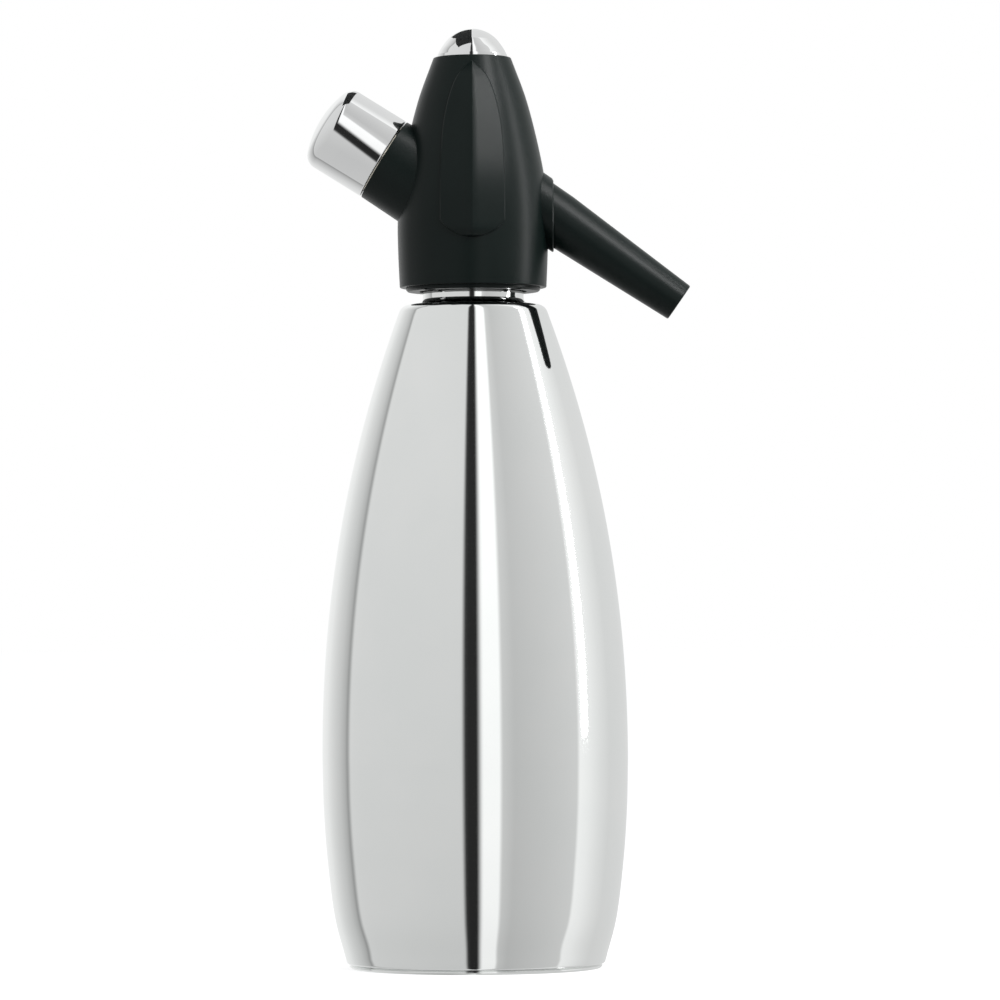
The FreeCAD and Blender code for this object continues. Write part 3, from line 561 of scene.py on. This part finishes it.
crown_edge = math.asin(CROWN_EDGE / CROWN)
dome = []
for step in range(CROWN_STEPS + 1):
    angle = crown_edge * step / CROWN_STEPS
    dome.append(Vector((CROWN * math.sin(angle), BUTTON_TOP - CROWN + CROWN * math.cos(angle))))
side = smooth_through([
    tuple(dome[-2]), tuple(dome[-1]), (10.1, DOME_FOOT + 2.4), (DOME_RADIUS, DOME_FOOT)
], 12)[12:]
button_outline = dome + side + [Vector(p) for p in (
    (DOME_RADIUS, DOME_FOOT - 8.0), (10.2, DOME_FOOT - 8.0), (10.2, DOME_FOOT), (3.2, BUTTON_TOP - 4.3),
    (3.2, BUTTON_TOP - 13.2), (1.55, BUTTON_TOP - 13.2), (1.55, BUTTON_TOP - 5.3), (0, BUTTON_TOP - 5.3)
)]
lathe("button_dome", button_outline, "button", "chrome_plate", ("push_button",), around=192)

# Charger holder, in the charger's axis

holder_outline = sphere_end(14.3, 58.6, 32.5, 4.5) + rounded([
    (14.3, 50.0), (14.3, 34.5, 0.45), (12.3, 34.5, 0.2), (12.3, 44.4), (9.65, 44.4), (9.65, 53.0), (0, 55.6)
])[1:]
lathe("holder_cap", holder_outline, "charger_holder", "chrome_plate", ("charger_holder",),
      CHARGER_AXIS, around=224)
thread("sleeve_thread", 12.0, 0.24, 1.5, 35.2, 43.4, "head", "nickel_brass", CHARGER_AXIS)
thread("holder_thread", 12.3, -0.24, 1.5, 35.95, 43.6, "charger_holder", "chrome_plate", CHARGER_AXIS)

# Spout, in its own axis

spout_outline = rounded([
    (6.0, 11.8), (6.0, 14.0), (4.8, 14.0), (4.8, 15.6), (6.0, 15.6), (6.0, 22.0), (8.8, 22.0), (8.8, 34.0),
    (6.5, 82.1, 0.5), (4.5, 82.1, 0.3), (4.5, 70.1), (3.2, 70.1), (3.2, 11.8)
])
lathe("spout_tube", spout_outline, "head", "black_plastic", ("spout",), SPOUT_AXIS, around=160)


# Studio: surroundings as metal sees them, as (degrees round the vertical, screen level from 0 to 255)

METAL = 0.87
SURROUND = [
    (-180, 240), (-150, 232), (-123, 197), (-115.5, 178), (-112, 150), (-108, 214), (-98, 212), (-10, 209),
    (-7.5, 60), (-5, 40), (2, 40), (4, 200), (6, 255), (18.5, 255), (20.5, 203), (30, 190), (83, 208),
    (86, 246), (95, 240), (109, 225), (122, 214), (180, 216),
]


def linear(level):
    level = level / 255
    if level <= 0.04045:
        return level / 12.92
    return ((level + 0.055) / 1.055) ** 2.4


world = bpy.data.worlds.new("studio")
bpy.context.scene.world = world
world.use_nodes = True
nodes = world.node_tree.nodes
links = world.node_tree.links
nodes.clear()


def maths(operation, one, two):
    node = nodes.new("ShaderNodeMath")
    node.operation = operation
    for socket, value in zip(node.inputs, (one, two)):
        if isinstance(value, (int, float)):
            socket.default_value = value
        else:
            links.new(value, socket)
    return node.outputs["Value"]


def mixed(share, one, two):
    node = nodes.new("ShaderNodeMixShader")
    links.new(share, node.inputs["Fac"])
    links.new(one, node.inputs[1])
    links.new(two, node.inputs[2])
    return node.outputs["Shader"]


def background(colour, strength):
    node = nodes.new("ShaderNodeBackground")
    set_inputs(node, Color=colour, Strength=strength)
    return node


direction = nodes.new("ShaderNodeTexCoord")
ways = nodes.new("ShaderNodeSeparateXYZ")
links.new(direction.outputs["Generated"], ways.inputs["Vector"])
azimuth = maths("ARCTAN2", ways.outputs["X"], maths("MULTIPLY", ways.outputs["Y"], -1.0))
turned = maths("ADD", maths("DIVIDE", azimuth, 2 * math.pi), 0.5)
ramp = nodes.new("ShaderNodeValToRGB")
links.new(turned, ramp.inputs["Fac"])
stops = ramp.color_ramp.elements
while len(stops) > 1:
    stops.remove(stops[-1])
for index, (angle, level) in enumerate(SURROUND):
    place = (angle + 180) / 360
    stop = stops[0] if index == 0 else stops.new(place)
    stop.position = place
    value = linear(level) / METAL
    stop.color = (value * 0.99, value, value * 0.995, 1)
shade = nodes.new("ShaderNodeMapRange")
set_inputs(shade, From_Min=-0.6, From_Max=0.5, To_Min=0.84, To_Max=1.04)
links.new(ways.outputs["Z"], shade.inputs["Value"])

white = (1, 1, 1, 1)
seen = nodes.new("ShaderNodeLightPath")
reflected = background(white, 1.0)
links.new(ramp.outputs["Color"], reflected.inputs["Color"])
links.new(shade.outputs["Result"], reflected.inputs["Strength"])
plain = background(white, 1.0)
soft = background((0.97, 0.98, 1, 1), 0.62)
lighting = mixed(seen.outputs["Is Glossy Ray"], soft.outputs["Background"], reflected.outputs["Background"])
shown = maths("MAXIMUM", seen.outputs["Is Camera Ray"], seen.outputs["Is Transmission Ray"])
output = nodes.new("ShaderNodeOutputWorld")
links.new(mixed(shown, lighting, plain.outputs["Background"]), output.inputs["Surface"])


def plane(name, low, high, height):
    """Level rectangle between two corners, in metres, and its material."""
    mesh = bpy.data.meshes.new(name)
    mesh.from_pydata([
        (low[0], low[1], height), (high[0], low[1], height), (high[0], high[1], height),
        (low[0], high[1], height)
    ], [], [(0, 1, 2, 3)])
    obj = bpy.data.objects.new(name, mesh)
    bpy.context.scene.collection.objects.link(obj)
    material = bpy.data.materials.new(name)
    material.use_nodes = True
    mesh.materials.append(material)
    return obj, material


# Floor: pale and matt, and metal sees the surroundings through it

FLOOR_REACH = 30
FLOOR_GREY = 0.5
FLOOR_GLOW = 0.7

floor, floor_material = plane("floor", (-FLOOR_REACH, -FLOOR_REACH), (FLOOR_REACH, FLOOR_REACH), 0)
nodes = floor_material.node_tree.nodes
links = floor_material.node_tree.links
nodes.clear()
matt = nodes.new("ShaderNodeBsdfDiffuse")
set_inputs(matt, Color=(FLOOR_GREY, FLOOR_GREY, FLOOR_GREY, 1))
path = nodes.new("ShaderNodeLightPath")
glow = nodes.new("ShaderNodeEmission")
set_inputs(glow, Color=white)
links.new(maths("MULTIPLY", path.outputs["Is Camera Ray"], FLOOR_GLOW), glow.inputs["Strength"])
added = nodes.new("ShaderNodeAddShader")
links.new(matt.outputs["BSDF"], added.inputs[0])
links.new(glow.outputs["Emission"], added.inputs[1])
clear = nodes.new("ShaderNodeBsdfTransparent")
output = nodes.new("ShaderNodeOutputMaterial")
links.new(mixed(path.outputs["Is Glossy Ray"], added.outputs["Shader"], clear.outputs["BSDF"]),
          output.inputs["Surface"])

# Dark card above the button, which only metal sees

card, card_material = plane("dark_card", (-0.062, -0.03), (-0.001, 0.14), 0.385)
set_inputs(card_material.node_tree.nodes["Principled BSDF"], Base_Color=(0.01, 0.012, 0.012, 1))
card.visible_camera = False
card.visible_diffuse = False
card.visible_shadow = False


# Lamps: soft light from both sides, and a strip that edges the part on the right

def lamp(name, place, target, size, power, glossy=True):
    data = bpy.data.lights.new(name, "AREA")
    data.shape = "RECTANGLE"
    data.size, data.size_y = size
    data.energy = power
    obj = bpy.data.objects.new(name, data)
    bpy.context.scene.collection.objects.link(obj)
    obj.location = place
    aim = Vector(target) - Vector(place)
    obj.rotation_euler = aim.to_track_quat("-Z", "Y").to_euler()
    obj.visible_camera = False
    obj.visible_glossy = glossy
    return obj


lamp("key", (0.9, -0.9, 0.95), (0, 0, 0.2), (0.9, 0.9), 9.0, glossy=False)
lamp("fill", (-1.1, -0.7, 0.7), (0, 0, 0.2), (0.9, 0.9), 5.0, glossy=False)
lamp("strip", (0.62, -0.02, 0.42), (0, 0, 0.25), (0.07, 0.7), 1.6)

# Two lamps reach only the black pieces: one for the wing's right facet, one for the spout's upper side

moulded_pieces = bpy.data.collections.new("moulded_pieces")
for obj in bpy.data.objects:
    if obj.type == "MESH" and SLOTS["black_plastic"] in list(obj.data.materials):
        moulded_pieces.objects.link(obj)
for lit in (
    lamp("crest", (0.72, -0.62, 0.95), (0, 0, 0.27), (0.3, 0.5), 6.5),
    lamp("spout_side", (0.45, -0.25, 1.1), (0, 0, 0.24), (0.3, 0.4), 2.6),
):
    lit.light_linking.receiver_collection = moulded_pieces

# Camera: level, in front, with the picture shifted up

SPAN = 0.3273
DISTANCE = 1.85
EYE = 0.110
CENTRE = (0.0083, 0.153)
ROLL = 0.25
SENSOR = 36.0
CLIP_END = 80.0

camera_data = bpy.data.cameras.new("camera")
camera_data.sensor_width = SENSOR
camera_data.lens = SENSOR * DISTANCE / SPAN
camera_data.shift_y = (CENTRE[1] - EYE) / SPAN
camera_data.clip_end = CLIP_END
camera = bpy.data.objects.new("camera", camera_data)
bpy.context.scene.collection.objects.link(camera)
camera.matrix_world = (
    Matrix.Translation((CENTRE[0], -DISTANCE, EYE))
    @ Matrix.Rotation(math.radians(ROLL), 4, "Y")
    @ Matrix.Rotation(math.radians(90), 4, "X")
)
bpy.context.scene.camera = camera
bpy.context.scene.view_settings.view_transform = "Standard"
